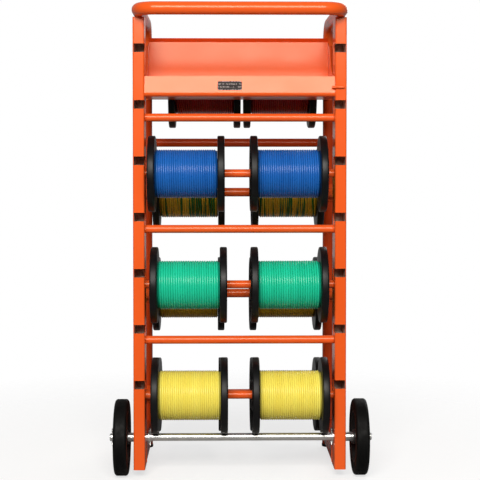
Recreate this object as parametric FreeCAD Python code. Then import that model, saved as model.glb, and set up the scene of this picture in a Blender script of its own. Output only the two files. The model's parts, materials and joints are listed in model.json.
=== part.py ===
import FreeCAD, Part
import math
import os

# Spool cart: a two-wheeled frame of box-section uprights and bent round tube.
# It carries reels of wire on removable rods, and an open tool tray below its handle.
# Millimetres. +X is the right-hand side, +Y the back, +Z up, and the floor is z = 0.
# The origin is on the floor, below the middle of the whole cart.

# ---- driving dimensions -------------------------------------------------------------

FACE_Y = -193.5           # front faces of the two uprights

UPRIGHT_IN_X = 248.0      # inner face of each upright
UPRIGHT_WIDTH = 30.0
UPRIGHT_DEPTH = 80.0
UPRIGHT_WALL = 2.5
UPRIGHT_CORNER_R = 4.0
UPRIGHT_BOTTOM_Z = 21.0
UPRIGHT_TOP_Z = 1202.6

ROD_COUNT = 6             # front rods; the seventh slot stays empty beside the tray
ROD_PITCH = 146.3
FIRST_ROD_Z = 211.9
ROD_DEPTH = 40.0          # rod centre line behind the front face
ROD_R = 10.65
ROD_HALF_LENGTH = 274.5
ROD_CHAMFER = 1.5
SLOT_R = 11.15            # half the width of a J-shaped rod slot
SLOT_DROP = 33.0          # from the slot's mouth down to the rod's seat

REAR_ROD_LEVELS = (160.0, 450.0, 740.0, 1030.0)
REAR_ROD_DEPTH = 348.0
REAR_ROD_R = 12.5
REAR_ROD_HALF_LENGTH = 275.0

TUBE_R = 16.85
TUBE_WALL = 2.5
LEG_X = 263.0
LEG_DEPTH = 380.0
LEG_BOTTOM_Z = 8.0
HANDLE_Z = 1219.45
HANDLE_DEPTH = -50.0      # the crossbar stands in front of the uprights
HANDLE_BACK_BEND_R = 60.0
HANDLE_CORNER_R = 46.0

CROSS_TUBE_R = 12.0
CROSS_TUBE_WALL = 2.0
CROSS_TUBE_Z = 882.0

RAIL_HEIGHT = 60.0
RAIL_WALL = 2.5

CAP_R = 18.0
CAP_PLUG_R = 14.15
CAP_PLUG_TOP_Z = 30.0
CAP_EDGE_R = 2.0

HOOK_WIDTH = 24.0
HOOK_THICK = 3.0
HOOK_CLEAR = 0.4
HOOK_LIP_RISE = 8.0       # height of the hook's lip above the rod's centre
HOOK_BACK_RISE = 22.0
HOOK_FOOT_DROP = 10.0     # length of the back strap below the saddle

AXLE_Z = 100.0
AXLE_DEPTH = 40.0
AXLE_R = 10.0
AXLE_HALF_LENGTH = 346.0
AXLE_SHIFT = 3.5          # the axle and its wheels sit this far towards the right
AXLE_HOLE_R = 10.2
PIN_HOLE_R = 3.6
INNER_PIN_X = 239.5
OUTER_PIN_X = 339.5

WHEEL_R = 100.0
WHEEL_IN_X = 296.0
WHEEL_WIDTH = 36.0
TYRE_IN_R = 68.0
TYRE_BEAD_STEP = 2.0      # the tyre narrows by this much over its inner edge's height
TYRE_BEAD_HEIGHT = 8.0
TREAD_SHOULDER_R = 8.0
GROOVE_COUNT = 6
GROOVE_PITCH = 3.6
GROOVE_WIDTH = 1.3
GROOVE_DEPTH = 1.8
HUB_IN_X = 298.0
HUB_OUT_X = 331.5
HUB_R = 19.0
HUB_BORE_R = 10.08
HUB_WEB = 6.0
HUB_HOLES = 6
HUB_HOLE_R = 9.0
HUB_HOLE_PITCH_R = 42.0
HUB_ROOT = 3.0            # the hub is this much thicker where it meets the web
RIM_THICK = 7.0
RIM_FLARE = 2.0
WHEEL_SIDE_GAP = 0.5      # free play between the hub and what stands beside it

SPACER_R = 12.0
SPACER_GAP = 0.3
WASHER_R = 18.0
WASHER_THICK = 2.0
WASHER_GAP = 0.5

COTTER_WIRE_R = 1.6
COTTER_LEG_GAP = 3.4
COTTER_NECK_R = 2.5
COTTER_FLARE = 55.0       # degrees that the legs turn outwards below the ring
COTTER_SPREAD_R = 12.0
COTTER_SPREAD = 25.0      # degrees that the legs' ends are spread
COTTER_TIP = 5.0
COTTER_STAND = 1.0        # the wire starts to bend this far above and below the axle

SPOOL_FLANGE = 19.0
SPOOL_RIM = 9.0           # radial width of the flange's raised rim
SPOOL_WEB = 8.0           # thickness of the flange inside its rim
SPOOL_EDGE_R = 3.5
SPOOL_CORE_R = 40.0
SPOOL_CORE_WALL = 4.0
SPOOL_BORE_WALL = 4.0
SPOOL_RIBS = 8
SPOOL_RIB_THICK = 3.0
SPOOL_RIB_SINK = 2.0      # ribs stop this far below the rim
SPOOL_BORE_CLEAR = 1.5    # a reel hangs on its rod with this much radial play
RUN_CLEAR = 0.1
WIRE_FIT = 0.2

FRONT_SPOOL_R = 100.0
FRONT_SPOOL_WIDTH = 200.0
REAR_SPOOL_R = 105.0
REAR_SPOOL_WIDTH = 203.0

TRAY_HALF_WIDTH = 247.8
TRAY_SHEET = 2.0
TRAY_BOTTOM_Z = 997.0
TRAY_FRONT = 2.0          # depths are measured back from the uprights' front faces
TRAY_LIP_TOP_Z = 1050.0
TRAY_LIP_LEAN = 12.0      # degrees that the front lip leans back
TRAY_FLOOR_BACK = 187.0
TRAY_BACK_LEAN = 36.0
TRAY_BACK_TOP_Z = 1157.0
TRAY_HEM = 10.0
TRAY_BEND_R = 9.0
# The ends' swept edge: depths behind the lip, and heights above the lip's top.
TRAY_SWEEP = ((78.0, 14.0), (114.0, 42.0), (134.0, 85.0))
BOLT_R = 3.0
BOLT_HEAD_R = 6.5
BOLT_HEAD = 4.0
BOLT_SPOTS = ((22.0, 1030.0), (58.0, 1030.0))

LABEL_MID_X = -26.0
LABEL_WIDTH = 63.0
LABEL_HEIGHT = 24.0
LABEL_RISE = 5.5          # bare lip between its bend and the plate
LABEL_THICK = 1.2
LABEL_CORNER_R = 5.0

STOP_PIN_R = 3.4
STOP_PIN_Z = 1021.0
STOP_PIN_IN_X = 240.0
STOP_PIN_OUT_X = 269.0

# Each reel: name, radius of its wound wire, centre x, and the index of its rod.
FRONT_REELS = (
    ("yellow_left", 65.0, -131.0, 0),
    ("yellow_right", 65.0, 132.5, 0),
    ("green_left", 64.0, -133.3, 2),
    ("green_right", 64.0, 129.0, 2),
    ("blue_left", 64.0, -139.5, 4),
    ("blue_right", 64.0, 127.5, 4),
)
REAR_REELS = (
    ("rear_black_left", 68.0, -138.0, 0),
    ("rear_black_right", 68.0, 137.0, 0),
    ("rear_yellow_left", 69.0, -140.0, 1),
    ("rear_yellow_right", 69.0, 135.0, 1),
    ("rear_striped_left", 71.0, -139.0, 2),
    ("rear_striped_right", 71.0, 140.0, 2),
    ("rear_red_left", 66.0, -94.5, 3),
    ("rear_red_right", 66.0, 118.0, 3),
)

# ---- worked out from the driving dimensions -----------------------------------------

UPRIGHT_OUT_X = UPRIGHT_IN_X + UPRIGHT_WIDTH
ROD_Y = FACE_Y + ROD_DEPTH
REAR_ROD_Y = FACE_Y + REAR_ROD_DEPTH
LEG_Y = FACE_Y + LEG_DEPTH
HANDLE_Y = FACE_Y + HANDLE_DEPTH
AXLE_Y = FACE_Y + AXLE_DEPTH
LEG_TOP_Z = HANDLE_Z - HANDLE_BACK_BEND_R
SIDES = (("left", -1), ("right", 1))
BEND_Y = FACE_Y + TRAY_FRONT + TRAY_BEND_R
BEND_Z = TRAY_BOTTOM_Z + TRAY_BEND_R
LEAN = math.radians(TRAY_LIP_LEAN)
BEND_START = math.radians(270.0)
BEND_END = math.pi - LEAN
OVERRUN = 1.0             # cutting solids run this far past the faces they cut
RIGHT = FreeCAD.Vector(1, 0, 0)
BACK = FreeCAD.Vector(0, 1, 0)
UP = FreeCAD.Vector(0, 0, 1)


def vec(x, y, z):
    return FreeCAD.Vector(x, y, z)


def front_rod_z(index):
    return FIRST_ROD_Z + ROD_PITCH * index


def box(x_low, x_high, y_low, y_high, z_low, z_high):
    corner = vec(x_low, y_low, z_low)
    return Part.makeBox(x_high - x_low, y_high - y_low, z_high - z_low, corner)


def rod_x(x_a, x_b, y, z, radius):
    x_low, x_high = sorted((x_a, x_b))
    return Part.makeCylinder(radius, x_high - x_low, vec(x_low, y, z), RIGHT)


def rod_z(x, y, z_low, z_high, radius):
    return Part.makeCylinder(radius, z_high - z_low, vec(x, y, z_low), UP)


def ring_x(x_a, x_b, y, z, outer_r, inner_r):
    return rod_x(x_a, x_b, y, z, outer_r).cut(rod_x(x_a, x_b, y, z, inner_r))


def chamfered_bar(half_length, y, z, radius):
    bar = rod_x(-half_length, half_length, y, z, radius)
    return bar.makeChamfer(ROD_CHAMFER, circle_edges(bar))


def edges_along(shape, direction):
    """Straight edges parallel to one of the axes."""
    found = []
    for edge in shape.Edges:
        span = edge.Vertexes[-1].Point - edge.Vertexes[0].Point
        if span.Length > 0 and span.cross(direction).Length < 1e-6 * span.Length:
            found.append(edge)
    return found


def circle_edges(shape):
    return [e for e in shape.Edges if isinstance(e.Curve, Part.Circle)]


def mirrored(shape):
    return shape.mirror(vec(0, 0, 0), RIGHT)


def fuse_all(shapes):
    first, *rest = shapes
    return first.multiFuse(rest).removeSplitter() if rest else first


def turned_x(points, y, z):
    """Revolve a closed outline of (x, radius) points about a line parallel to X."""
    corners = [vec(x, y, z + r) for x, r in points]
    face = Part.Face(Part.makePolygon(corners + corners[:1]))
    return face.revolve(vec(0, y, z), RIGHT, 360)


# ---- frame --------------------------------------------------------------------------

def rounded_post(x_low, x_high, y_low, y_high, z_low, z_high, radius):
    post = box(x_low, x_high, y_low, y_high, z_low, z_high)
    return post.makeFillet(radius, edges_along(post, UP))


def rod_slot(seat_z):
    """J-shaped cut through the front and inner walls; the outer wall closes its end."""
    x_low = UPRIGHT_IN_X - OVERRUN
    x_high = UPRIGHT_OUT_X - UPRIGHT_WALL
    mouth_z = seat_z + SLOT_DROP
    mouth = box(x_low, x_high, FACE_Y - OVERRUN, ROD_Y, mouth_z - SLOT_R, mouth_z + SLOT_R)
    drop = box(x_low, x_high, ROD_Y - SLOT_R, ROD_Y + SLOT_R, seat_z, mouth_z)
    top = rod_x(x_low, x_high, ROD_Y, mouth_z, SLOT_R)
    seat = rod_x(x_low, x_high, ROD_Y, seat_z, SLOT_R)
    return fuse_all([mouth, drop, top, seat])


def make_upright():
    back_y = FACE_Y + UPRIGHT_DEPTH
    outer = rounded_post(UPRIGHT_IN_X, UPRIGHT_OUT_X, FACE_Y, back_y,
                         UPRIGHT_BOTTOM_Z, UPRIGHT_TOP_Z, UPRIGHT_CORNER_R)
    inner = rounded_post(UPRIGHT_IN_X + UPRIGHT_WALL, UPRIGHT_OUT_X - UPRIGHT_WALL,
                         FACE_Y + UPRIGHT_WALL, back_y - UPRIGHT_WALL,
                         UPRIGHT_BOTTOM_Z - OVERRUN, UPRIGHT_TOP_Z - UPRIGHT_WALL,
                         UPRIGHT_CORNER_R - UPRIGHT_WALL)
    post = outer.cut(inner)
    for index in range(ROD_COUNT + 1):
        post = post.cut(rod_slot(front_rod_z(index)))
    post = post.cut(rod_x(UPRIGHT_IN_X - OVERRUN, UPRIGHT_OUT_X + OVERRUN,
                          AXLE_Y, AXLE_Z, AXLE_HOLE_R))
    for depth, z in BOLT_SPOTS:
        post = post.cut(rod_x(UPRIGHT_IN_X - OVERRUN, UPRIGHT_IN_X + UPRIGHT_WALL + OVERRUN,
                              FACE_Y + depth, z, BOLT_R))
    return post


def make_rear_leg():
    outer = rod_z(LEG_X, LEG_Y, LEG_BOTTOM_Z, LEG_TOP_Z, TUBE_R)
    return outer.cut(rod_z(LEG_X, LEG_Y, LEG_BOTTOM_Z, LEG_TOP_Z, TUBE_R - TUBE_WALL))


def swept_tube(edges, start, direction, radius):
    path = Part.Wire(edges)
    ring = Part.Wire(Part.Circle(start, direction, radius).toShape())
    return path.makePipeShell([ring], True, False)


def make_handle():
    """Both top bends, the runs over the uprights and the crossbar, as one bent tube."""
    run_start = LEG_Y - HANDLE_BACK_BEND_R
    corner_y = HANDLE_Y + HANDLE_CORNER_R
    corner_x = LEG_X - HANDLE_CORNER_R
    slant = math.sqrt(0.5)
    back_in = HANDLE_BACK_BEND_R * (1 - slant)
    corner_in = HANDLE_CORNER_R * (1 - slant)
    foot = vec(-LEG_X, LEG_Y, LEG_TOP_Z)
    left = [foot,
            vec(-LEG_X, LEG_Y - back_in, HANDLE_Z - back_in),
            vec(-LEG_X, run_start, HANDLE_Z),
            vec(-LEG_X, corner_y, HANDLE_Z),
            vec(-LEG_X + corner_in, HANDLE_Y + corner_in, HANDLE_Z),
            vec(-corner_x, HANDLE_Y, HANDLE_Z)]
    right = [vec(-p.x, p.y, p.z) for p in reversed(left)]
    edges = [Part.Arc(*left[0:3]).toShape(),
             Part.LineSegment(left[2], left[3]).toShape(),
             Part.Arc(*left[3:6]).toShape(),
             Part.LineSegment(left[5], right[0]).toShape(),
             Part.Arc(*right[0:3]).toShape(),
             Part.LineSegment(right[2], right[3]).toShape(),
             Part.Arc(*right[3:6]).toShape()]
    outer = swept_tube(edges, foot, UP, TUBE_R)
    return outer.cut(swept_tube(edges, foot, UP, TUBE_R - TUBE_WALL))


def make_cross_tube():
    tube = ring_x(-LEG_X, LEG_X, LEG_Y, CROSS_TUBE_Z, CROSS_TUBE_R, CROSS_TUBE_R - CROSS_TUBE_WALL)
    for _, side in SIDES:
        tube = tube.cut(rod_z(side * LEG_X, LEG_Y, LEG_BOTTOM_Z, LEG_TOP_Z, TUBE_R))
    return max(tube.Solids, key=lambda solid: solid.Volume)


def make_lower_rail():
    """Box section from the foot of an upright back to the rear leg, coped round it."""
    front_y = FACE_Y + UPRIGHT_DEPTH
    top_z = UPRIGHT_BOTTOM_Z + RAIL_HEIGHT
    outer = box(UPRIGHT_IN_X, UPRIGHT_OUT_X, front_y, LEG_Y, UPRIGHT_BOTTOM_Z, top_z)
    outer = outer.makeFillet(UPRIGHT_CORNER_R, edges_along(outer, BACK))
    inner = box(UPRIGHT_IN_X + RAIL_WALL, UPRIGHT_OUT_X - RAIL_WALL, front_y, LEG_Y,
                UPRIGHT_BOTTOM_Z + RAIL_WALL, top_z - RAIL_WALL)
    rail = outer.cut(inner)
    rail = rail.cut(rod_z(LEG_X, LEG_Y, LEG_BOTTOM_Z, LEG_TOP_Z, TUBE_R))
    return max(rail.Solids, key=lambda solid: solid.Volume)


def make_foot_cap():
    collar = rod_z(LEG_X, LEG_Y, 0.0, LEG_BOTTOM_Z, CAP_R)
    floor_edge = [e for e in circle_edges(collar) if e.CenterOfMass.z < LEG_BOTTOM_Z / 2]
    collar = collar.makeFillet(CAP_EDGE_R, floor_edge)
    return collar.fuse(rod_z(LEG_X, LEG_Y, LEG_BOTTOM_Z, CAP_PLUG_TOP_Z, CAP_PLUG_R)).removeSplitter()


def make_rear_hook(level):
    """J-shaped strap welded to the front of a rear leg. The rod lifts out upwards."""
    saddle_r = REAR_ROD_R + HOOK_CLEAR
    outer_r = saddle_r + HOOK_THICK
    x_low = LEG_X - HOOK_WIDTH / 2
    x_high = LEG_X + HOOK_WIDTH / 2
    bowl = ring_x(x_low, x_high, REAR_ROD_Y, level, outer_r, saddle_r)
    bowl = bowl.cut(box(x_low, x_high, REAR_ROD_Y - outer_r, REAR_ROD_Y + outer_r,
                        level, level + outer_r))
    lip = box(x_low, x_high, REAR_ROD_Y - outer_r, REAR_ROD_Y - saddle_r,
              level, level + HOOK_LIP_RISE)
    strap = box(x_low, x_high, REAR_ROD_Y + saddle_r, REAR_ROD_Y + outer_r + TUBE_R / 2,
                level - outer_r - HOOK_FOOT_DROP, level + HOOK_BACK_RISE)
    hook = fuse_all([bowl, lip, strap])
    return hook.cut(rod_z(LEG_X, LEG_Y, LEG_BOTTOM_Z, LEG_TOP_Z, TUBE_R))


# ---- wheels and axle ----------------------------------------------------------------

def make_axle():
    bar = chamfered_bar(AXLE_HALF_LENGTH, AXLE_Y, AXLE_Z, AXLE_R)
    for _, side in SIDES:
        for x in (INNER_PIN_X, OUTER_PIN_X):
            bar = bar.cut(rod_z(side * x, AXLE_Y, AXLE_Z - 2 * AXLE_R, AXLE_Z + 2 * AXLE_R, PIN_HOLE_R))
    return bar


def make_tyre():
    outer_x = WHEEL_IN_X + WHEEL_WIDTH
    first_groove = WHEEL_IN_X + WHEEL_WIDTH / 2 - GROOVE_PITCH * (GROOVE_COUNT - 1) / 2
    outline = [(WHEEL_IN_X + TYRE_BEAD_STEP, TYRE_IN_R),
               (WHEEL_IN_X, TYRE_IN_R + TYRE_BEAD_HEIGHT),
               (WHEEL_IN_X, WHEEL_R)]
    for index in range(GROOVE_COUNT):
        x_low = first_groove + index * GROOVE_PITCH - GROOVE_WIDTH / 2
        x_high = x_low + GROOVE_WIDTH
        outline += [(x_low, WHEEL_R), (x_low, WHEEL_R - GROOVE_DEPTH),
                    (x_high, WHEEL_R - GROOVE_DEPTH), (x_high, WHEEL_R)]
    outline += [(outer_x, WHEEL_R),
                (outer_x, TYRE_IN_R + TYRE_BEAD_HEIGHT),
                (outer_x - TYRE_BEAD_STEP, TYRE_IN_R)]
    tyre = turned_x(outline, AXLE_Y, AXLE_Z)
    shoulders = [e for e in circle_edges(tyre)
                 if e.Curve.Radius > WHEEL_R - GROOVE_DEPTH / 2
                 and (e.BoundBox.XMin < WHEEL_IN_X + OVERRUN or e.BoundBox.XMax > outer_x - OVERRUN)]
    return tyre.makeFillet(TREAD_SHOULDER_R, shoulders)


def make_wheel_hub():
    middle_x = WHEEL_IN_X + WHEEL_WIDTH / 2
    rim_low = WHEEL_IN_X + TYRE_BEAD_STEP
    rim_high = WHEEL_IN_X + WHEEL_WIDTH - TYRE_BEAD_STEP
    rim_in_r = TYRE_IN_R - RIM_THICK
    outline = [(HUB_IN_X, HUB_BORE_R), (HUB_IN_X, HUB_R),
               (middle_x - HUB_WEB / 2, HUB_R + HUB_ROOT),
               (middle_x - HUB_WEB / 2, rim_in_r),
               (rim_low, rim_in_r + RIM_FLARE), (rim_low, TYRE_IN_R),
               (rim_high, TYRE_IN_R), (rim_high, rim_in_r + RIM_FLARE),
               (middle_x + HUB_WEB / 2, rim_in_r),
               (middle_x + HUB_WEB / 2, HUB_R + HUB_ROOT),
               (HUB_OUT_X, HUB_R), (HUB_OUT_X, HUB_BORE_R)]
    hub = turned_x(outline, AXLE_Y, AXLE_Z)
    for index in range(HUB_HOLES):
        turn = math.radians(360.0 / HUB_HOLES * index)
        y = AXLE_Y + HUB_HOLE_PITCH_R * math.cos(turn)
        z = AXLE_Z + HUB_HOLE_PITCH_R * math.sin(turn)
        hub = hub.cut(rod_x(WHEEL_IN_X, rim_high, y, z, HUB_HOLE_R))
    return hub


def make_spacer(side):
    """Tube from the upright's outer face to the hub, which the shift brings nearer or farther."""
    return ring_x(side * (UPRIGHT_OUT_X + SPACER_GAP), side * (HUB_IN_X - WHEEL_SIDE_GAP) + AXLE_SHIFT,
                  AXLE_Y, AXLE_Z, SPACER_R, AXLE_HOLE_R)


def make_washers():
    inner_x = INNER_PIN_X + COTTER_WIRE_R + WASHER_GAP
    outer_x = HUB_OUT_X + WHEEL_SIDE_GAP
    return [ring_x(x, x + WASHER_THICK, AXLE_Y, AXLE_Z, WASHER_R, AXLE_HOLE_R)
            for x in (inner_x, outer_x)]


def arc_about(x, centre_y, centre_z, radius, start, end):
    """Arc in the Y-Z plane from one angle to another, in degrees from +Y towards +Z."""
    points = []
    for angle in (start, (start + end) / 2, end):
        turn = math.radians(angle)
        points.append(vec(x, centre_y + radius * math.cos(turn), centre_z + radius * math.sin(turn)))
    return Part.Arc(*points).toShape()


def make_cotter(x):
    """Split pin of one bent wire: ring head above the axle, two legs down, ends spread."""
    half_gap = COTTER_LEG_GAP / 2
    neck_r = COTTER_NECK_R
    flare = math.radians(COTTER_FLARE)
    ring_r = (half_gap + neck_r - neck_r * math.cos(flare)) / math.cos(flare)
    neck_z = AXLE_Z + AXLE_R + COTTER_STAND
    ring_z = neck_z + (neck_r + ring_r) * math.sin(flare)
    spread_z = AXLE_Z - AXLE_R - COTTER_STAND
    spread = math.radians(COTTER_SPREAD)
    sides = []
    for way in (-1, 1):
        y = AXLE_Y + way * half_gap
        centre_y = y + way * neck_r
        outer_y = y + way * COTTER_SPREAD_R
        bend_end = vec(x, outer_y - way * COTTER_SPREAD_R * math.cos(spread),
                       spread_z - COTTER_SPREAD_R * math.sin(spread))
        bend_mid = vec(x, outer_y - way * COTTER_SPREAD_R * math.cos(spread / 2),
                       spread_z - COTTER_SPREAD_R * math.sin(spread / 2))
        tip = bend_end + vec(0, way * math.sin(spread), -math.cos(spread)) * COTTER_TIP
        neck_start = 0.0 if way < 0 else 180.0
        neck_end = neck_start - way * COTTER_FLARE
        side = [Part.LineSegment(tip, bend_end).toShape(),
                Part.Arc(bend_end, bend_mid, vec(x, y, spread_z)).toShape(),
                Part.LineSegment(vec(x, y, spread_z), vec(x, y, neck_z)).toShape(),
                arc_about(x, centre_y, neck_z, neck_r, neck_start, neck_end)]
        sides.append(side)
    ring = arc_about(x, AXLE_Y, ring_z, ring_r, 180.0 + COTTER_FLARE, -COTTER_FLARE)
    path = Part.Wire(Part.__sortEdges__(sides[0] + [ring] + sides[1]))
    start = sides[0][0].Vertexes[0].Point
    profile = Part.Wire(Part.Circle(start, vec(0, math.sin(spread), math.cos(spread)),
                                    COTTER_WIRE_R).toShape())
    return path.makePipeShell([profile], True, False)


# ---- reels of wire ------------------------------------------------------------------

def make_flange(half_width, radius, bore_r):
    """Right-hand flange: a rounded rim and a ribbed dish round two raised hub rings."""
    inner_x = half_width - SPOOL_FLANGE
    web_x = inner_x + SPOOL_WEB
    disc = rod_x(inner_x, half_width, 0.0, 0.0, radius)
    disc = disc.makeFillet(SPOOL_EDGE_R, circle_edges(disc))
    dish = ring_x(web_x, half_width, 0.0, 0.0, radius - SPOOL_RIM, SPOOL_CORE_R)
    hub = ring_x(web_x, half_width, 0.0, 0.0, SPOOL_CORE_R - SPOOL_CORE_WALL, bore_r + SPOOL_BORE_WALL)
    ribs = []
    for index in range(SPOOL_RIBS):
        rib = box(inner_x, half_width - SPOOL_RIB_SINK, -SPOOL_RIB_THICK / 2, SPOOL_RIB_THICK / 2,
                  0.0, radius)
        rib.rotate(vec(0, 0, 0), RIGHT, 360.0 / SPOOL_RIBS * index)
        ribs.append(rib)
    pockets = dish.fuse(hub).cut(fuse_all(ribs))
    return disc.cut(pockets).cut(rod_x(inner_x, half_width, 0.0, 0.0, bore_r))


def make_spool(radius, width, rod_radius):
    """Two flanges, bored for the rod, clipped to the ends of a barrel."""
    half = width / 2
    flange = make_flange(half, radius, rod_radius + SPOOL_BORE_CLEAR)
    barrel_half = half - SPOOL_FLANGE
    barrel = ring_x(-barrel_half, barrel_half, 0.0, 0.0, SPOOL_CORE_R, SPOOL_CORE_R - SPOOL_CORE_WALL)
    return [flange, mirrored(flange), barrel]


def make_wire_pack(outer_r, width):
    half = width / 2 - SPOOL_FLANGE - WIRE_FIT
    return ring_x(-half, half, 0.0, 0.0, outer_r, SPOOL_CORE_R + WIRE_FIT)


# ---- tool tray ----------------------------------------------------------------------

def slab(points, x_low, x_high):
    """Extrude a closed outline of (y, z) points along X."""
    corners = [vec(x_low, y, z) for y, z in points]
    face = Part.Face(Part.makePolygon(corners + corners[:1]))
    return face.extrude(vec(x_high - x_low, 0, 0))


def front_bend(x, radius):
    """Three points round the tray's front bend, from the floor up to the leaning lip."""
    return [vec(x, BEND_Y + radius * math.cos(turn), BEND_Z + radius * math.sin(turn))
            for turn in (BEND_START, (BEND_START + BEND_END) / 2, BEND_END)]


def lip_edge(foot):
    """Top of the lip, straight up its lean from a point where the bend ends."""
    length = (TRAY_LIP_TOP_Z - BEND_Z - TRAY_BEND_R * math.sin(BEND_END)) / math.cos(LEAN)
    return foot + vec(0, math.sin(LEAN), math.cos(LEAN)) * length


def tray_front(x_low, x_high):
    """Front bend and lip, as one strip of sheet."""
    outer = front_bend(x_low, TRAY_BEND_R)
    inner = front_bend(x_low, TRAY_BEND_R - TRAY_SHEET)
    edges = [Part.Arc(*outer),
             Part.LineSegment(outer[2], lip_edge(outer[2])),
             Part.LineSegment(lip_edge(outer[2]), lip_edge(inner[2])),
             Part.LineSegment(lip_edge(inner[2]), inner[2]),
             Part.Arc(*inner),
             Part.LineSegment(inner[0], outer[0])]
    face = Part.Face(Part.Wire(Part.__sortEdges__([edge.toShape() for edge in edges])))
    return face.extrude(vec(x_high - x_low, 0, 0))


def tray_end_panel(x_low, x_high):
    """End of the tray: low in front, then swept up to the top of the back wall."""
    back_y = FACE_Y + TRAY_FLOOR_BACK
    bend = front_bend(x_low, TRAY_BEND_R)
    lip_top = lip_edge(bend[2])
    sweep = [lip_top + vec(0, depth, rise) for depth, rise in TRAY_SWEEP]
    back_top = vec(x_low, back_y + TRAY_BACK_LEAN, TRAY_BACK_TOP_Z)
    floor_back = vec(x_low, back_y, TRAY_BOTTOM_Z)
    edges = [Part.LineSegment(lip_top, sweep[0]),
             Part.Arc(*sweep),
             Part.LineSegment(sweep[2], back_top),
             Part.LineSegment(back_top, floor_back),
             Part.LineSegment(floor_back, bend[0]),
             Part.Arc(*bend),
             Part.LineSegment(bend[2], lip_top)]
    face = Part.Face(Part.Wire([edge.toShape() for edge in edges]))
    return face.extrude(vec(x_high - x_low, 0, 0))


def make_tray():
    """Open tray of folded sheet: front lip, floor, leaning back wall and two ends."""
    x_low, x_high = -TRAY_HALF_WIDTH, TRAY_HALF_WIDTH
    back_y = FACE_Y + TRAY_FLOOR_BACK
    top_y = back_y + TRAY_BACK_LEAN
    floor = box(x_low, x_high, BEND_Y, back_y, TRAY_BOTTOM_Z, TRAY_BOTTOM_Z + TRAY_SHEET)
    back = slab([(back_y, TRAY_BOTTOM_Z), (top_y, TRAY_BACK_TOP_Z),
                 (top_y - TRAY_SHEET, TRAY_BACK_TOP_Z), (back_y - TRAY_SHEET, TRAY_BOTTOM_Z)],
                x_low, x_high)
    hem_y, hem_z = top_y - TRAY_HEM, TRAY_BACK_TOP_Z + TRAY_HEM
    hem = slab([(top_y, TRAY_BACK_TOP_Z), (hem_y, hem_z),
                (hem_y - TRAY_SHEET, hem_z), (top_y - TRAY_SHEET, TRAY_BACK_TOP_Z)],
               x_low, x_high)
    ends = [tray_end_panel(x_low, x_low + TRAY_SHEET), tray_end_panel(x_high - TRAY_SHEET, x_high)]
    tray = fuse_all([tray_front(x_low, x_high), floor, back, hem] + ends)
    for depth, z in BOLT_SPOTS:
        tray = tray.cut(rod_x(x_low, x_high, FACE_Y + depth, z, BOLT_R))
    return tray


def make_bolt(depth, z):
    """Button-headed bolt from inside the tray into the wall of the right upright."""
    head_x = TRAY_HALF_WIDTH - TRAY_SHEET
    y = FACE_Y + depth
    head = rod_x(head_x - BOLT_HEAD, head_x, y, z, BOLT_HEAD_R)
    crown = [e for e in circle_edges(head) if e.CenterOfMass.x < head_x - BOLT_HEAD / 2]
    head = head.makeFillet(BOLT_HEAD / 2, crown)
    shank = rod_x(head_x, UPRIGHT_IN_X + UPRIGHT_WALL, y, z, BOLT_R)
    return head.fuse(shank).removeSplitter()


def make_label_plate():
    """Rounded plate on the leaning lip: made upright on the bend's front, then turned with it."""
    front_y = FACE_Y + TRAY_FRONT
    low_z = BEND_Z + LABEL_RISE
    plate = box(LABEL_MID_X - LABEL_WIDTH / 2, LABEL_MID_X + LABEL_WIDTH / 2,
                front_y - LABEL_THICK, front_y, low_z, low_z + LABEL_HEIGHT)
    plate = plate.makeFillet(LABEL_CORNER_R, edges_along(plate, BACK))
    plate.rotate(vec(0, BEND_Y, BEND_Z), RIGHT, -TRAY_LIP_LEAN)
    return plate


def make_stop_pin():
    """Round pin from the tray's right end, lying across the face of the right upright."""
    y = FACE_Y - STOP_PIN_R
    pin = rod_x(STOP_PIN_IN_X, STOP_PIN_OUT_X, y, STOP_PIN_Z, STOP_PIN_R)
    return pin.fuse(Part.makeSphere(STOP_PIN_R, vec(STOP_PIN_OUT_X, y, STOP_PIN_Z))).removeSplitter()


# ---- the whole cart -----------------------------------------------------------------

def both_sides(solid):
    return [solid, mirrored(solid)]


def as_node(solids):
    return solids[0] if len(solids) == 1 else Part.makeCompound(solids)


def add_pair(nodes, name, right_solid):
    """name holds {} where the side's own word goes."""
    for word, side in SIDES:
        nodes[name.format(word)] = [right_solid if side > 0 else mirrored(right_solid)]


def add_reels(nodes, reels, blank, width, depth, rod_height):
    hang = SPOOL_BORE_CLEAR - RUN_CLEAR
    for name, wire_r, mid_x, index in reels:
        place = vec(mid_x, FACE_Y + depth, rod_height(index) - hang)
        nodes["spool_" + name] = [solid.translated(place) for solid in blank]
        nodes["wire_" + name] = [make_wire_pack(wire_r, width).translated(place)]


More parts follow.
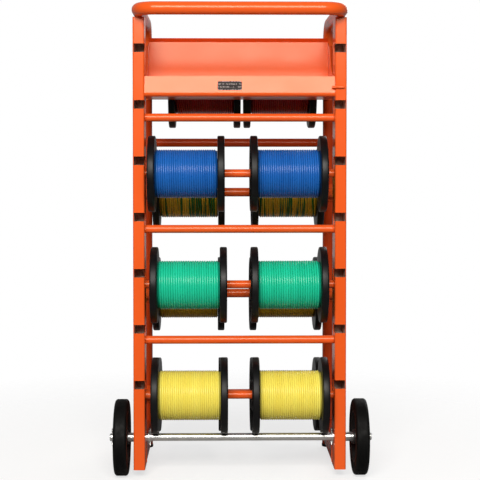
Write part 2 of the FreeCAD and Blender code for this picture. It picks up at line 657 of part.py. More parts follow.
def build_nodes():
    nodes = {}
    add_pair(nodes, "{}_upright", make_upright())
    add_pair(nodes, "{}_rear_leg", make_rear_leg())
    add_pair(nodes, "{}_lower_rail", make_lower_rail())
    nodes["push_handle"] = [make_handle()]
    nodes["rear_cross_tube"] = [make_cross_tube()]
    nodes["foot_caps"] = both_sides(make_foot_cap())
    nodes["rear_rod_hooks"] = [hook for level in REAR_ROD_LEVELS
                               for hook in both_sides(make_rear_hook(level))]

    axle_set = {"axle": [make_axle()]}
    add_pair(axle_set, "{}_tyre", make_tyre())
    add_pair(axle_set, "{}_wheel_hub", make_wheel_hub())
    axle_set["axle_washers"] = [w for washer in make_washers() for w in both_sides(washer)]
    axle_set["axle_split_pins"] = [p for x in (INNER_PIN_X, OUTER_PIN_X)
                                   for p in both_sides(make_cotter(x))]
    for name, solids in axle_set.items():
        nodes[name] = [solid.translated(RIGHT * AXLE_SHIFT) for solid in solids]
    nodes["axle_spacers"] = [make_spacer(side) for _, side in SIDES]

    nodes["tool_tray"] = [make_tray()]
    nodes["tray_bolts"] = [b for spot in BOLT_SPOTS for b in both_sides(make_bolt(*spot))]
    nodes["tray_label_plate"] = [make_label_plate()]
    nodes["tray_stop_pin"] = [make_stop_pin()]

    for index in range(ROD_COUNT):
        bar = chamfered_bar(ROD_HALF_LENGTH, ROD_Y, front_rod_z(index), ROD_R)
        nodes["front_rod_%d" % (index + 1)] = [bar]
    for index, level in enumerate(REAR_ROD_LEVELS):
        bar = chamfered_bar(REAR_ROD_HALF_LENGTH, REAR_ROD_Y, level, REAR_ROD_R)
        nodes["rear_rod_%d" % (index + 1)] = [bar]

    front_blank = make_spool(FRONT_SPOOL_R, FRONT_SPOOL_WIDTH, ROD_R)
    rear_blank = make_spool(REAR_SPOOL_R, REAR_SPOOL_WIDTH, REAR_ROD_R)
    add_reels(nodes, FRONT_REELS, front_blank, FRONT_SPOOL_WIDTH, ROD_DEPTH, front_rod_z)
    add_reels(nodes, REAR_REELS, rear_blank, REAR_SPOOL_WIDTH, REAR_ROD_DEPTH,
              lambda index: REAR_ROD_LEVELS[index])
    return nodes


os.makedirs("parts", exist_ok=True)
for node_name, solids in build_nodes().items():
    as_node(solids).exportStep("parts/%s.step" % node_name)
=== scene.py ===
"""Wire spool cart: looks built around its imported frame. Metres, in the frame's own axes."""
import json
import math
import random

import bpy
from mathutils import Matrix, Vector

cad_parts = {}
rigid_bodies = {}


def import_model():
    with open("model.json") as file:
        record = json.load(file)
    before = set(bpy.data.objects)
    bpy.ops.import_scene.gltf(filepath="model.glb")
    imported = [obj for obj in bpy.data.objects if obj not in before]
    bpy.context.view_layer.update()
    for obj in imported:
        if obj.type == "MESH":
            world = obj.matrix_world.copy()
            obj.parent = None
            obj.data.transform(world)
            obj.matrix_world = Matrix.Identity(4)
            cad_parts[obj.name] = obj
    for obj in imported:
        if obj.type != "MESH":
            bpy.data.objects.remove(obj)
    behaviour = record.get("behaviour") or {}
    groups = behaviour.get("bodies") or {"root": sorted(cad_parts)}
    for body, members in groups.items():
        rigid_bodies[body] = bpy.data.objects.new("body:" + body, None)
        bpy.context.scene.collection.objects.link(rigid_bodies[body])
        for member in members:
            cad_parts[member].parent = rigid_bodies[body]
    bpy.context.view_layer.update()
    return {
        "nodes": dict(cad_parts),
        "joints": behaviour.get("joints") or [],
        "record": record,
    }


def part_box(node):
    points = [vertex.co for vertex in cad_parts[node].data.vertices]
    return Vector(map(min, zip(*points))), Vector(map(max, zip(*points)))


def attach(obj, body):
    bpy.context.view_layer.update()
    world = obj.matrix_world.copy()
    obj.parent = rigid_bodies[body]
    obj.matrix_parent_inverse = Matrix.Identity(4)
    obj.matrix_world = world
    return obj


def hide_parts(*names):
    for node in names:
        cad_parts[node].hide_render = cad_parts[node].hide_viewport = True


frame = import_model()
MM = 0.001
TURN = 2 * math.pi

# ---- places read from the frame -----------------------------------------------------

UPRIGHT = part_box("right_upright")
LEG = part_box("right_rear_leg")
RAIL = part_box("right_lower_rail")
REAR_LEVELS = [(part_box("rear_rod_%d" % n)[0].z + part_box("rear_rod_%d" % n)[1].z) / 2 for n in range(1, 5)]
FRONT_Y = UPRIGHT[0].y
BODY_OF = {node: body for body, nodes in frame["record"]["behaviour"]["bodies"].items()
           for node in nodes}
ROD_OF = {joint["child"]: joint["parent"] for joint in frame["joints"]}
SLOT_OF = {part["node"]: part["material_slot"] for part in frame["record"]["subparts"]}

# ---- camera, lights and floor -------------------------------------------------------

CAMERA_LENS = 98.1              # mm on a 36 mm wide sensor
CAMERA_DISTANCE = 3.4           # from the uprights' front faces
CAMERA_HEIGHT = 0.832
CAMERA_SIDE = -0.058
CAMERA_DOWN = math.radians(1.82)
CAMERA_RIGHT = math.radians(0.984)
CAMERA_SHIFT = -0.08

KEY_COLOUR = (1.0, 0.965, 0.91)
ROOM_FRONT = 0.05               # brightness of the room on the camera's side of the cart
ROOM_BACK = 0.38                # brightness of the wall behind it, as a light
ROOM_TURN = (-0.35, 0.75)       # the change between them, by how far a direction points back
FLOOR_CLEAR_R = 0.6             # the floor is solid to this radius, then fades out
FLOOR_FADE_R = 1.6
FLOOR_GLOW = 0.68               # only the camera sees the floor glow
MARK_ROWS = TURN / (7.5 * MM)   # one row of marks on the label plate every 7.5 mm


def link(obj):
    bpy.context.scene.collection.objects.link(obj)
    return obj


def make_camera():
    data = bpy.data.cameras.new("photo_camera")
    data.lens = CAMERA_LENS
    data.sensor_width = 36.0
    data.shift_y = CAMERA_SHIFT
    data.clip_end = 100.0
    camera = link(bpy.data.objects.new("photo_camera", data))
    camera.location = (CAMERA_SIDE, FRONT_Y - CAMERA_DISTANCE, CAMERA_HEIGHT)
    aim = Vector((math.sin(CAMERA_RIGHT), math.cos(CAMERA_RIGHT), -math.tan(CAMERA_DOWN)))
    camera.rotation_mode = "QUATERNION"
    camera.rotation_quaternion = aim.to_track_quat("-Z", "Y")
    bpy.context.scene.camera = camera


def area_light(name, place, target, width, height, watts, colour=(1.0, 1.0, 1.0)):
    data = bpy.data.lights.new(name, "AREA")
    data.shape = "RECTANGLE"
    data.size = width
    data.size_y = height
    data.energy = watts
    data.color = colour
    lamp = link(bpy.data.objects.new(name, data))
    lamp.location = place
    lamp.rotation_mode = "QUATERNION"
    lamp.rotation_quaternion = (Vector(target) - Vector(place)).to_track_quat("-Z", "Y")


def make_lights():
    middle = (0.0, FRONT_Y, 0.75)
    area_light("key_softbox", (-0.25, FRONT_Y - 3.7, 2.55), middle, 2.4, 1.7, 205.0, KEY_COLOUR)
    area_light("rear_softbox", (1.6, 3.2, 2.2), (0.0, 0.1, 0.6), 1.8, 1.8, 30.0)


def make_world():
    """White studio to the eye. As a light it is bright behind the cart and dim in front."""
    world = bpy.data.worlds.new("studio")
    world.use_nodes = True
    nodes, links = world.node_tree.nodes, world.node_tree.links
    nodes.clear()
    direction = nodes.new("ShaderNodeSeparateXYZ")
    links.new(nodes.new("ShaderNodeTexCoord").outputs["Generated"], direction.inputs["Vector"])
    room = nodes.new("ShaderNodeMapRange")
    room.interpolation_type = "SMOOTHSTEP"
    room.inputs["From Min"].default_value, room.inputs["From Max"].default_value = ROOM_TURN
    room.inputs["To Min"].default_value = ROOM_FRONT
    room.inputs["To Max"].default_value = ROOM_BACK
    links.new(direction.outputs["Y"], room.inputs["Value"])
    path = nodes.new("ShaderNodeLightPath")
    seen = nodes.new("ShaderNodeMath")
    seen.operation = "MAXIMUM"
    links.new(room.outputs["Result"], seen.inputs[0])
    links.new(path.outputs["Is Camera Ray"], seen.inputs[1])
    background = nodes.new("ShaderNodeBackground")
    background.inputs["Color"].default_value = (1.0, 1.0, 1.0, 1.0)
    links.new(seen.outputs["Value"], background.inputs["Strength"])
    output = nodes.new("ShaderNodeOutputWorld")
    links.new(background.outputs["Background"], output.inputs["Surface"])
    bpy.context.scene.world = world
    bpy.context.scene.view_settings.view_transform = "Standard"


# ---- materials ----------------------------------------------------------------------

class Shader:
    """A node material on Principled BSDF, with short helpers for its textures."""

    def __init__(self, name):
        self.material = bpy.data.materials.new(name)
        self.material.use_nodes = True
        self.tree = self.material.node_tree
        self.surface = self.tree.nodes["Principled BSDF"]
        self.place = self.node("ShaderNodeTexCoord").outputs["Object"]

    def node(self, kind):
        return self.tree.nodes.new(kind)

    def join(self, source, target):
        self.tree.links.new(source, target)

    def set(self, **values):
        for name, value in values.items():
            self.surface.inputs[name.replace("_", " ")].default_value = value

    def stretched(self, scale):
        mapping = self.node("ShaderNodeMapping")
        mapping.inputs["Scale"].default_value = scale
        self.join(self.place, mapping.inputs["Vector"])
        return mapping.outputs["Vector"]

    def noise(self, scale, detail=2.0, rough=0.5, stretch=(1, 1, 1)):
        noise = self.node("ShaderNodeTexNoise")
        noise.inputs["Scale"].default_value = scale
        noise.inputs["Detail"].default_value = detail
        noise.inputs["Roughness"].default_value = rough
        self.join(self.stretched(stretch), noise.inputs["Vector"])
        return noise.outputs["Fac"]

    def ranged(self, source, low, high, from_low=0.3, from_high=0.7):
        node = self.node("ShaderNodeMapRange")
        node.inputs["From Min"].default_value = from_low
        node.inputs["From Max"].default_value = from_high
        node.inputs["To Min"].default_value = low
        node.inputs["To Max"].default_value = high
        self.join(source, node.inputs["Value"])
        return node.outputs["Result"]

    def mixed(self, factor, first, second):
        node = self.node("ShaderNodeMix")
        node.data_type = "RGBA"
        self.join(factor, node.inputs["Factor"])
        for socket, colour in ((node.inputs["A"], first), (node.inputs["B"], second)):
            if isinstance(colour, tuple):
                socket.default_value = (*colour, 1.0)
            else:
                self.join(colour, socket)
        return node.outputs["Result"]

    def sum(self, first, second, weight):
        node = self.node("ShaderNodeMath")
        node.operation = "MULTIPLY_ADD"
        self.join(second, node.inputs[0])
        node.inputs[1].default_value = weight
        self.join(first, node.inputs[2])
        return node.outputs["Value"]

    def attribute(self, name):
        node = self.node("ShaderNodeAttribute")
        node.attribute_name = name
        return node.outputs["Fac"]

    def inside(self, post):
        """1 within a hollow post (middle x, half width, middle y, half depth), on either side."""
        split = self.node("ShaderNodeSeparateXYZ")
        self.join(self.place, split.inputs["Vector"])
        across = self.maths("ABSOLUTE", split.outputs["X"])
        masks = []
        for source, middle, half in ((across, *post[:2]), (split.outputs["Y"], *post[2:])):
            offset = self.maths("ABSOLUTE", self.maths("SUBTRACT", source, middle))
            masks.append(self.maths("LESS_THAN", offset, half))
        return self.maths("MULTIPLY", *masks)

    def maths(self, operation, first, second=None):
        node = self.node("ShaderNodeMath")
        node.operation = operation
        self.join(first, node.inputs[0])
        if isinstance(second, float):
            node.inputs[1].default_value = second
        elif second is not None:
            self.join(second, node.inputs[1])
        return node.outputs["Value"]

    def colour(self, source):
        self.join(source, self.surface.inputs["Base Color"])

    def roughness(self, source):
        self.join(source, self.surface.inputs["Roughness"])

    def bump(self, height, strength, distance):
        node = self.node("ShaderNodeBump")
        node.inputs["Strength"].default_value = strength
        node.inputs["Distance"].default_value = distance
        self.join(height, node.inputs["Height"])
        self.join(node.outputs["Normal"], self.surface.inputs["Normal"])


def powder_coat(name, dark=(0.86, 0.108, 0.0150), light=(0.91, 0.120, 0.0180), post=None):
    """Glossy orange coat, uneven in tone. Inside a hollow post it is bare, brown and rough."""
    shader = Shader(name)
    drift = shader.ranged(shader.noise(3.0, detail=3.0), 0.0, 1.0)
    tone = shader.mixed(drift, dark, light)
    rough = shader.ranged(shader.noise(14.0, detail=3.0), 0.19, 0.25)
    if post:
        inside = shader.inside(post)
        patch = shader.ranged(shader.noise(110.0, detail=5.0, rough=0.65), 0.0, 1.0)
        tone = shader.mixed(inside, tone, shader.mixed(patch, (0.50, 0.32, 0.25), (0.95, 0.72, 0.60)))
        rough = shader.sum(rough, inside, 0.45)
    shader.colour(tone)
    shader.roughness(rough)
    peel = shader.sum(shader.noise(300.0, detail=1.0), shader.noise(1200.0), 0.25)
    shader.bump(peel, 0.03, 0.0004)
    shader.set(Specular_IOR_Level=0.36, Specular_Tint=(1.0, 0.86, 0.70, 1.0))
    return shader.material


def spool_plastic():
    shader = Shader("spool_plastic")
    scuff = shader.ranged(shader.noise(55.0, detail=6.0, rough=0.65), 0.0, 1.0, 0.52, 0.75)
    shader.colour(shader.mixed(scuff, (0.003, 0.003, 0.0035), (0.008, 0.008, 0.009)))
    shader.roughness(shader.ranged(shader.noise(25.0, detail=5.0), 0.36, 0.48))
    grain = shader.sum(shader.noise(900.0, detail=2.0), shader.noise(90.0, detail=3.0), 0.5)
    shader.bump(grain, 0.15, 0.0004)
    shader.set(Specular_IOR_Level=0.24)
    return shader.material


def zinc_plate():
    shader = Shader("zinc_plated_steel")
    cloud = shader.noise(60.0, detail=4.0)
    shader.colour(shader.mixed(shader.ranged(cloud, 0.0, 1.0), (0.76, 0.77, 0.78), (0.88, 0.88, 0.86)))
    streak = shader.noise(120.0, detail=4.0, stretch=(0.06, 1.0, 1.0))
    shader.roughness(shader.ranged(streak, 0.26, 0.40))
    shader.bump(streak, 0.08, 0.0003)
    shader.set(Metallic=1.0)
    return shader.material


def tyre_rubber():
    shader = Shader("tyre_rubber")
    dust = shader.ranged(shader.noise(28.0, detail=6.0, rough=0.6), 0.0, 1.0, 0.5, 0.85)
    shader.colour(shader.mixed(dust, (0.0015, 0.0015, 0.0015), (0.0045, 0.0042, 0.004)))
    shader.roughness(shader.ranged(shader.noise(60.0, detail=3.0), 0.50, 0.7))
    shader.bump(shader.noise(1200.0, detail=3.0), 0.2, 0.0004)
    shader.set(Specular_IOR_Level=0.16)
    return shader.material


def moulded_black(name, base, rough_low, rough_high):
    shader = Shader(name)
    tone = shader.ranged(shader.noise(30.0, detail=4.0), 0.0, 1.0)
    shader.colour(shader.mixed(tone, (base, base, base), (base * 1.8, base * 1.8, base * 1.8)))
    shader.roughness(shader.ranged(shader.noise(45.0, detail=4.0), rough_low, rough_high))
    shader.bump(shader.noise(1100.0, detail=2.0), 0.2, 0.0003)
    shader.set(Specular_IOR_Level=0.35)
    return shader.material


def insulation(name, dark, light, stripe=None):
    """Wire insulation. Each turn of wire has its own tone, and may carry a stripe."""
    shader = Shader(name)
    tone = shader.mixed(shader.attribute("turn_tone"), dark, light)
    if stripe:
        mark = shader.ranged(shader.attribute("stripe"), 0.0, 1.0, 0.62, 0.70)
        tone = shader.mixed(mark, tone, stripe)
    shader.colour(tone)
    shader.roughness(shader.ranged(shader.noise(150.0, detail=3.0), 0.26, 0.34))
    shader.bump(shader.noise(700.0, detail=2.0), 0.06, 0.0003)
    shader.set(Specular_IOR_Level=0.45)
    return shader.material


def printed_plate():
    """Dark grey plate with two rows of pale generic marks that spell nothing."""
    shader = Shader("label_plate")
    split = shader.node("ShaderNodeSeparateXYZ")
    shader.join(shader.place, split.inputs["Vector"])
    rows = shader.maths("GREATER_THAN", shader.maths("SINE", shader.maths(
        "MULTIPLY", split.outputs["Z"], MARK_ROWS)), 0.1)
    marks = shader.maths("GREATER_THAN", shader.noise(420.0, detail=2.0, stretch=(1.0, 1.0, 0.3)), 0.49)
    ink = shader.maths("MULTIPLY", rows, marks)
    shader.colour(shader.mixed(ink, (0.035, 0.028, 0.028), (0.32, 0.27, 0.26)))
    shader.roughness(shader.ranged(shader.noise(45.0, detail=4.0), 0.5, 0.65))
    shader.set(Specular_IOR_Level=0.12)
    return shader.material


def pale_floor():
    """Pale floor that fades into the white room away from the cart."""
    shader = Shader("pale_floor")
    shader.colour(shader.mixed(shader.noise(1.2), (0.36, 0.36, 0.36), (0.39, 0.39, 0.39)))
    shader.set(Roughness=0.8, Specular_IOR_Level=0.2, Emission_Color=(1.0, 1.0, 1.0, 1.0))
    seen = shader.maths("MULTIPLY", shader.node("ShaderNodeLightPath").outputs["Is Camera Ray"], FLOOR_GLOW)
    shader.join(seen, shader.surface.inputs["Emission Strength"])
    length = shader.node("ShaderNodeVectorMath")
    length.operation = "LENGTH"
    shader.join(shader.place, length.inputs[0])
    fade = shader.ranged(length.outputs["Value"], 1.0, 0.0, FLOOR_CLEAR_R, FLOOR_FADE_R)
    shader.join(fade, shader.surface.inputs["Alpha"])
    return shader.material


POST_WALL = 2.4 * MM
POST_MID_X, POST_MID_Y = (UPRIGHT[0].x + UPRIGHT[1].x) / 2, (UPRIGHT[0].y + UPRIGHT[1].y) / 2
POST_HOLLOW = (POST_MID_X, UPRIGHT[1].x - POST_MID_X - POST_WALL,
               POST_MID_Y, UPRIGHT[1].y - POST_MID_Y - POST_WALL)

MATERIALS = {
    "orange_powder_coat": powder_coat("orange_powder_coat"),
    "upright": powder_coat("orange_powder_coat_hollow", post=POST_HOLLOW),
    # A darker, redder copy of the same orange coat: painted shade for the rear legs, rails and cross tube.
    "orange_coat_painted_shade": powder_coat("orange_coat_painted_shade", (0.64, 0.058, 0.0090), (0.70, 0.068, 0.0110)),
    "spool_plastic": spool_plastic(),
    "zinc_plated_steel": zinc_plate(),
    "tyre_rubber": tyre_rubber(),
    "wheel_hub_plastic": moulded_black("wheel_hub_plastic", 0.012, 0.35, 0.5),
    "foot_cap_plastic": moulded_black("foot_cap_plastic", 0.008, 0.5, 0.7),
    "label_plate": printed_plate(),
    "wire_blue": insulation("wire_blue", (0.010, 0.115, 0.45), (0.016, 0.150, 0.54)),
    "wire_green": insulation("wire_green", (0.011, 0.56, 0.32), (0.017, 0.66, 0.40)),
    "wire_yellow": insulation("wire_yellow", (0.95, 0.80, 0.115), (1.0, 0.89, 0.155)),
    "wire_red": insulation("wire_red", (0.36, 0.0015, 0.0015), (0.50, 0.003, 0.003)),
    "wire_striped": insulation("wire_striped", (0.80, 0.46, 0.020), (0.92, 0.58, 0.04),
                               stripe=(0.014, 0.15, 0.016)),
    # The yellow wire again, darker and browner: painted shade for the two rear yellow reels.
    "wire_yellow_painted_shade": insulation("wire_yellow_painted_shade", (0.60, 0.37, 0.018), (0.70, 0.45, 0.03)),
    "wire_black": insulation("wire_black", (0.006, 0.006, 0.006), (0.014, 0.014, 0.015)),
}

# The last word of a node's name, where its look differs from its slot's. Legs, rails and the cross tube take
# a darker, redder copy of the same coat: painted shade.
LOOK_OF = {"upright": "upright", "leg": "orange_coat_painted_shade", "rail": "orange_coat_painted_shade",
           "tube": "orange_coat_painted_shade"}


def dress(obj, slot):
    obj.data.materials.clear()
    obj.data.materials.append(MATERIALS[slot])


def make_floor():
    mesh = bpy.data.meshes.new("floor")
    corners = [(x * FLOOR_FADE_R, y * FLOOR_FADE_R, 0) for x, y in ((-1, -1), (1, -1), (1, 1), (-1, 1))]
    mesh.from_pydata(corners, [], [(0, 1, 2, 3)])
    floor = link(bpy.data.objects.new("floor", mesh))
    floor.data.materials.append(pale_floor())


# ---- mesh helpers -------------------------------------------------------------------

def mesh_piece(name, verts, faces, slot, body, sharp=None):
    """sharp is the angle in degrees above which an edge stays crisp."""
    mesh = bpy.data.meshes.new(name)
    mesh.from_pydata(verts, [], faces)
    mesh.update()
    mesh.polygons.foreach_set("use_smooth", [True] * len(mesh.polygons))
    if sharp:
        mesh.set_sharp_from_angle(angle=math.radians(sharp))
    piece = link(bpy.data.objects.new(name, mesh))
    dress(piece, slot)
    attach(piece, body)
    return piece


def swept_rings(rings, closed):
    """Faces between rings of equal length; verts are the rings one after another."""
    sides = len(rings[0])
    verts = [point for ring in rings for point in ring]
    faces = []
    last = len(rings) if closed else len(rings) - 1
    for i in range(last):
        a, b = i * sides, (i + 1) % len(rings) * sides
        for j in range(sides):
            k = (j + 1) % sides
            faces.append((a + j, a + k, b + k, b + j))
    return verts, faces


# ---- wire wound on the reels --------------------------------------------------------

# Distance between turns, in mm, by material slot.
WIRE_PITCH = {"wire_blue": 5.8, "wire_green": 6.1, "wire_yellow": 5.5, "wire_red": 5.8,
              "wire_striped": 6.0, "wire_black": 6.0}
STEPS_PER_TURN = 56
WIRE_SIDES = 8
CORE_STEPS = 96
TURN_SAG = 0.12                 # how far a turn may lie low, in wire radii
STRIPE_TWIST = (0.6, 1.8)       # turns that the stripe makes about the wire in one turn of the reel
CORE_SINK = 0.15                # core below the wire's centre line, in wire radii
FIRST_SEED = 100


def wound_wire(node, seed):
    """The outer layer of one reel: a helix of real wire over a closed core."""
    low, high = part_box(node)
    rng = random.Random(seed)
    centre = (low + high) / 2
    width = high.x - low.x
    turns = round(width / (WIRE_PITCH[SLOT_OF[node]] * MM))
    wire_r = width / turns / 2
    line_r = (high.z - low.z) / 2 - wire_r
    tones, sags, twists = [], [], [rng.uniform(0, TURN)]
    for _ in range(turns + 1):
        tones.append(rng.random())
        sags.append(rng.uniform(-TURN_SAG, 0.0) * wire_r)
        twists.append(twists[-1] + rng.choice((-1, 1)) * rng.uniform(*STRIPE_TWIST) * TURN)
    rings, tone_values, stripes = [], [], []
    total = (turns - 1) * STEPS_PER_TURN
    for step in range(total + 1):
        turn, part = divmod(step, STEPS_PER_TURN)
        share = part / STEPS_PER_TURN
        blend = share * share * (3 - 2 * share)
        angle = TURN * share
        twist = twists[turn] * (1 - share) + twists[turn + 1] * share
        radius = line_r + sags[turn] * (1 - blend) + sags[turn + 1] * blend
        outward = Vector((0.0, math.cos(angle), math.sin(angle)))
        middle = Vector((low.x + wire_r + (width - 2 * wire_r) * step / total, centre.y, centre.z))
        middle += outward * radius
        ring = []
        for side in range(WIRE_SIDES):
            around = TURN * (side + 0.5) / WIRE_SIDES
            ring.append(middle + (Vector((math.cos(around), 0, 0)) + outward * math.sin(around)) * wire_r)
            tone_values.append(tones[turn] * (1 - blend) + tones[turn + 1] * blend)
            stripes.append(0.5 + 0.5 * math.cos(around - twist))
        rings.append(ring)
    verts, faces = swept_rings(rings, closed=False)
    for end in (0, len(rings) - 1):
        faces.append(tuple(end * WIRE_SIDES + side for side in range(WIRE_SIDES)))
    core_start = len(verts)
    core_r = line_r - CORE_SINK * wire_r
    for x in (low.x, high.x):
        for step in range(CORE_STEPS):
            angle = TURN * step / CORE_STEPS
            verts.append(centre + Vector((x - centre.x, core_r * math.cos(angle), core_r * math.sin(angle))))
            tone_values.append(0.0)
            stripes.append(0.0)
    for step in range(CORE_STEPS):
        following = (step + 1) % CORE_STEPS
        faces.append((core_start + step, core_start + following,
                      core_start + CORE_STEPS + following, core_start + CORE_STEPS + step))
    faces.append(tuple(core_start + step for step in reversed(range(CORE_STEPS))))
    faces.append(tuple(core_start + CORE_STEPS + step for step in range(CORE_STEPS)))
    piece = mesh_piece("wound_" + node, verts, faces, SLOT_OF[node], BODY_OF[node])
    # The rear yellow reels take the darker copy of the yellow wire: painted shade.
    if node.startswith("wire_rear_yellow"):
        dress(piece, "wire_yellow_painted_shade")
    for name, values in (("turn_tone", tone_values), ("stripe", stripes)):
        attribute = piece.data.attributes.new(name, "FLOAT", "POINT")
        attribute.data.foreach_set("value", values)
    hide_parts(node)


# ---- moulded spools -----------------------------------------------------------------

FLANGE = 19.0 * MM
FLANGE_EDGE_R = 3.5 * MM
FLANGE_RIM = 9.0 * MM
DISH_DEPTH = 11.0 * MM
CORE_R = 40.0 * MM
CORE_WALL = 4.0 * MM
BORE_WALL = 4.0 * MM
BORE_CLEAR = 1.5 * MM
EASE = 0.8 * MM                 # small rounding of the moulded edges
ROOT_R = 1.6 * MM               # rounding at the bottom of the dish
SPOOL_SHARP = 35.0              # degrees above which an edge stays crisp
FLANGE_RIBS = 8
RIB_HALF = 1.6 * MM
RIB_SINK = 2.0 * MM
LATHE_STEPS = 128


def arc_profile(x, r, radius, start, end, steps=5):
    """Points round a corner in a lathe outline: centre (x, r), angles in degrees."""
    turns = [math.radians(start + (end - start) * i / (steps - 1)) for i in range(steps)]
    return [(x + radius * math.cos(t), r + radius * math.sin(t)) for t in turns]


def spool_outline(half, outer_r, bore_r):
    """Closed outline of (x, radius) points: the right half, then its mirror image."""
    inner_x, dish_x = half - FLANGE, half - DISH_DEPTH
    dish_r, tube_r, core_in = outer_r - FLANGE_RIM, bore_r + BORE_WALL, CORE_R - CORE_WALL
    right = [(inner_x, CORE_R)]
    right += arc_profile(inner_x + FLANGE_EDGE_R, outer_r - FLANGE_EDGE_R, FLANGE_EDGE_R, 180, 90)
    right += arc_profile(half - FLANGE_EDGE_R, outer_r - FLANGE_EDGE_R, FLANGE_EDGE_R, 90, 0)
    right += arc_profile(half - EASE, dish_r + EASE, EASE, 0, -90, 3)
    right += arc_profile(dish_x + ROOT_R, dish_r - ROOT_R, ROOT_R, 90, 180, 3)
    right += arc_profile(dish_x + ROOT_R, CORE_R + ROOT_R, ROOT_R, 180, 270, 3)
    right += arc_profile(half - EASE, CORE_R - EASE, EASE, 90, 0, 3)
    right += arc_profile(half - EASE, core_in + EASE, EASE, 0, -90, 3)
    right += arc_profile(dish_x + EASE, core_in - EASE, EASE, 90, 180, 3)
    right += arc_profile(dish_x + EASE, tube_r + EASE, EASE, 180, 270, 3)
    right += arc_profile(half - EASE, tube_r - EASE, EASE, 90, 0, 3)
    right += arc_profile(half - EASE, bore_r + EASE, EASE, 0, -90, 3)
    return right + [(-x, r) for x, r in reversed(right)]


def rib_block(x_low, x_high, r_low, r_high, turn):
    """Corner points and faces of one rib with chamfered outer edges, turned about X."""
    half, ease = RIB_HALF, EASE / 2
    out = 1 if x_high > 0 else -1
    top = x_high if out > 0 else x_low
    root = x_low if out > 0 else x_high
    section = [(root, -half), (top - out * ease, -half), (top, ease - half), (top, half - ease),
               (top - out * ease, half), (root, half)]
    verts = []
    for r in (r_low, r_high):
        for x, off in section:
            y, z = r * math.cos(turn) - off * math.sin(turn), r * math.sin(turn) + off * math.cos(turn)
            verts.append(Vector((x, y, z)))
    count = len(section)
    faces = [tuple(range(count)), tuple(reversed(range(count, 2 * count)))]
    faces += [(i, i + count, (i + 1) % count + count, (i + 1) % count) for i in range(count)]
    return verts, faces


def moulded_spool(node):
    """Ribbed, dished flanges on a hollow core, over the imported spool's own size."""
    low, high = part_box(node)
    centre = (low + high) / 2
    half, outer_r = (high.x - low.x) / 2, (high.z - low.z) / 2
    rod_low, rod_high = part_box(ROD_OF[BODY_OF[node]])
    bore_r = (rod_high.z - rod_low.z) / 2 + BORE_CLEAR
    outline = spool_outline(half, outer_r, bore_r)
    rings = [[Vector((x, r * math.cos(TURN * step / LATHE_STEPS), r * math.sin(TURN * step / LATHE_STEPS)))
              for step in range(LATHE_STEPS)] for x, r in outline]
    verts, faces = swept_rings(rings, closed=True)
    rib_spans = ((CORE_R - EASE, outer_r - FLANGE_RIM + EASE),
                 (bore_r + BORE_WALL - EASE, CORE_R - CORE_WALL + EASE))
    ribs = []
    for out in (-1, 1):
        x_pair = sorted((out * (half - DISH_DEPTH - EASE), out * (half - RIB_SINK)))
        for r_low, r_high in rib_spans:
            ribs += [rib_block(*x_pair, r_low, r_high, TURN * (i + 0.5) / FLANGE_RIBS)
                     for i in range(FLANGE_RIBS)]
    for rib_verts, rib_faces in ribs:
        start = len(verts)
        verts += rib_verts
        faces += [tuple(start + i for i in face) for face in rib_faces]
    piece = mesh_piece("moulded_" + node, [centre + v for v in verts], faces, SLOT_OF[node],
                       BODY_OF[node], sharp=SPOOL_SHARP)
    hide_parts(node)


# ---- weld beads ---------------------------------------------------------------------

BEAD_SIDES = 8
BEAD_RIPPLE = 2.6 * MM
BEAD_FLATNESS = 0.8             # height over width
BEAD_END = 0.4                  # thickness where a bead starts and stops
BEAD_STEP = 0.8 * MM
BEAD_RISE = 0.16                # height of a ripple, in bead radii
BEAD_UNEVEN = 0.05
SADDLE_STEPS = 96
HOOK_WELD_LOW, HOOK_WELD_HIGH = -24 * MM, 20 * MM       # from the rod's centre line
HOOK_BEAD_X = 12.0 * MM         # from the leg's centre line
HANDLE_BEAD_X = 8.0 * MM
HANDLE_BEAD_RISE = 1.2 * MM     # above the top of the upright
HANDLE_BEAD_END = 4 * MM        # bare at each end
RAIL_BEAD_END = 2 * MM
RAIL_BEAD_IN = 0.6 * MM         # in from the rail's side
RAIL_BEAD_OUT = 0.4 * MM        # out from the leg
HOOK_BEAD_OUT = 0.3 * MM
CROSS_TUBE_BEAD, RAIL_FRONT_BEAD, RAIL_BACK_BEAD = 1.8 * MM, 1.9 * MM, 1.8 * MM     # radii
HANDLE_BEAD, HOOK_BEAD = 2.2 * MM, 1.4 * MM
RAIL_CORNER = 3.0 * MM          # bare at each corner of the rail
RAIL_BEAD_SINK = 0.02           # share of the way from the rail's edge to its middle
LEG_X, LEG_Y = (LEG[0].x + LEG[1].x) / 2, (LEG[0].y + LEG[1].y) / 2
LEG_R = (LEG[1].x - LEG[0].x) / 2


def weld_bead(name, points, outward, radius, closed=False):
    """Rippled bead along a line of points. outward gives the direction away from the joint."""
    rng = random.Random(name)
    count = len(points)
    rings, travelled = [], 0.0
    for i, point in enumerate(points):
        before = points[i - 1] if closed or i else point
        after = points[(i + 1) % count] if closed or i < count - 1 else point
        along = (after - before).normalized()
        up = outward(point)
        up = (up - along * up.dot(along)).normalized()
        side = along.cross(up)
        travelled += (point - points[i - 1]).length if i else 0.0
        wave = 1.0 + BEAD_RISE * abs(math.sin(math.pi * travelled / BEAD_RIPPLE))
        wave += rng.uniform(-BEAD_UNEVEN, BEAD_UNEVEN)
        if not closed and i in (0, count - 1):
            wave *= BEAD_END
        ring = []
        for j in range(BEAD_SIDES):
            around = TURN * j / BEAD_SIDES
            ring.append(point + (side * math.cos(around) + up * math.sin(around) * BEAD_FLATNESS)
                        * radius * wave)
        rings.append(ring)
    verts, faces = swept_rings(rings, closed)
    if not closed:
        faces.append(tuple(reversed(range(BEAD_SIDES))))
        faces.append(tuple((count - 1) * BEAD_SIDES + j for j in range(BEAD_SIDES)))
    mesh_piece(name, verts, faces, "orange_powder_coat", "frame")


def straight(start, end):
    steps = max(2, round((end - start).length / BEAD_STEP))
    return [start.lerp(end, i / steps) for i in range(steps + 1)]


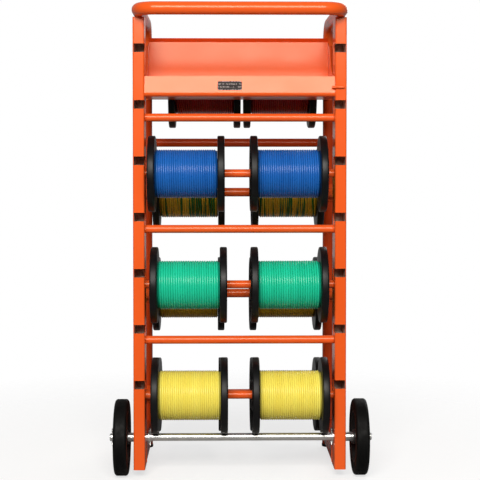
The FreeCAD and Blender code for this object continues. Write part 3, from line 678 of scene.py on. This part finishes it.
def weld_cross_tube(word, side):
    """Round the end of the rear cross tube, where it meets the leg."""
    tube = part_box("rear_cross_tube")
    tube_r, tube_z = (tube[1].z - tube[0].z) / 2, (tube[0].z + tube[1].z) / 2
    saddle = []
    for step in range(SADDLE_STEPS):
        around = TURN * step / SADDLE_STEPS
        y, z = tube_r * math.cos(around), tube_r * math.sin(around)
        saddle.append(Vector((side * (LEG_X - math.sqrt(LEG_R ** 2 - y ** 2)), LEG_Y + y, tube_z + z)))
    weld_bead(word + "_cross_tube_weld", saddle,
              lambda p: Vector((0, p.y - LEG_Y, p.z - tube_z)), CROSS_TUBE_BEAD, closed=True)


def weld_rail_front(word, side):
    """Round the front end of the box rail, where it meets the upright."""
    low_x, high_x = side * RAIL[0].x, side * RAIL[1].x
    corners = [(low_x, RAIL[0].z), (high_x, RAIL[0].z), (high_x, RAIL[1].z), (low_x, RAIL[1].z)]
    middle = Vector((side * LEG_X, RAIL[0].y, (RAIL[0].z + RAIL[1].z) / 2))
    ring = []
    for (x_a, z_a), (x_b, z_b) in zip(corners, corners[1:] + corners[:1]):
        start, end = Vector((x_a, RAIL[0].y, z_a)), Vector((x_b, RAIL[0].y, z_b))
        inset = (end - start).normalized() * RAIL_CORNER
        ring += straight(start + inset, end - inset)
    ring = [p.lerp(middle, RAIL_BEAD_SINK) for p in ring]
    weld_bead(word + "_rail_front_weld", ring, lambda p: p - middle, RAIL_FRONT_BEAD, closed=True)


def leg_face_y(off):
    """How far forward the leg's surface lies at this distance from its centre line."""
    return LEG_Y - math.sqrt(LEG_R ** 2 - off ** 2)


def weld_along(word, side, name, x_off):
    """Straight beads along one side of the rail's back end, of the handle and of each hook."""
    half = (RAIL[1].x - RAIL[0].x) / 2
    x, y = side * LEG_X + x_off * (half - RAIL_BEAD_IN), leg_face_y(half) - RAIL_BEAD_OUT
    weld_bead("%s_rail_back_%s_weld" % (word, name),
              straight(Vector((x, y, RAIL[0].z + RAIL_BEAD_END)), Vector((x, y, RAIL[1].z - RAIL_BEAD_END))),
              lambda p: Vector((x_off, -0.6, 0)), RAIL_BACK_BEAD)
    x, z = side * LEG_X + x_off * HANDLE_BEAD_X, UPRIGHT[1].z + HANDLE_BEAD_RISE
    weld_bead("%s_handle_%s_weld" % (word, name),
              straight(Vector((x, UPRIGHT[0].y + HANDLE_BEAD_END, z)),
                       Vector((x, UPRIGHT[1].y - HANDLE_BEAD_END, z))),
              lambda p: Vector((x_off, 0, -0.4)), HANDLE_BEAD)
    x, y = side * LEG_X + x_off * HOOK_BEAD_X, leg_face_y(HOOK_BEAD_X) - HOOK_BEAD_OUT
    for index, level in enumerate(REAR_LEVELS):
        weld_bead("%s_hook_%d_%s_weld" % (word, index + 1, name),
                  straight(Vector((x, y, level + HOOK_WELD_LOW)), Vector((x, y, level + HOOK_WELD_HIGH))),
                  lambda p: Vector((x_off, -0.4, 0)), HOOK_BEAD)


def make_welds():
    for word, side in (("left", -1), ("right", 1)):
        weld_cross_tube(word, side)
        weld_rail_front(word, side)
        for name, x_off in (("inner", -1), ("outer", 1)):
            weld_along(word, side, name, x_off)


# ---- the scene ----------------------------------------------------------------------

make_camera()
make_world()
make_lights()
make_floor()

for node, obj in frame["nodes"].items():
    dress(obj, LOOK_OF.get(node.split("_")[-1], SLOT_OF[node]))
for index, node in enumerate(sorted(frame["nodes"])):
    if node.startswith("wire_"):
        wound_wire(node, seed=FIRST_SEED + index)
    elif node.startswith("spool_"):
        moulded_spool(node)
make_welds()
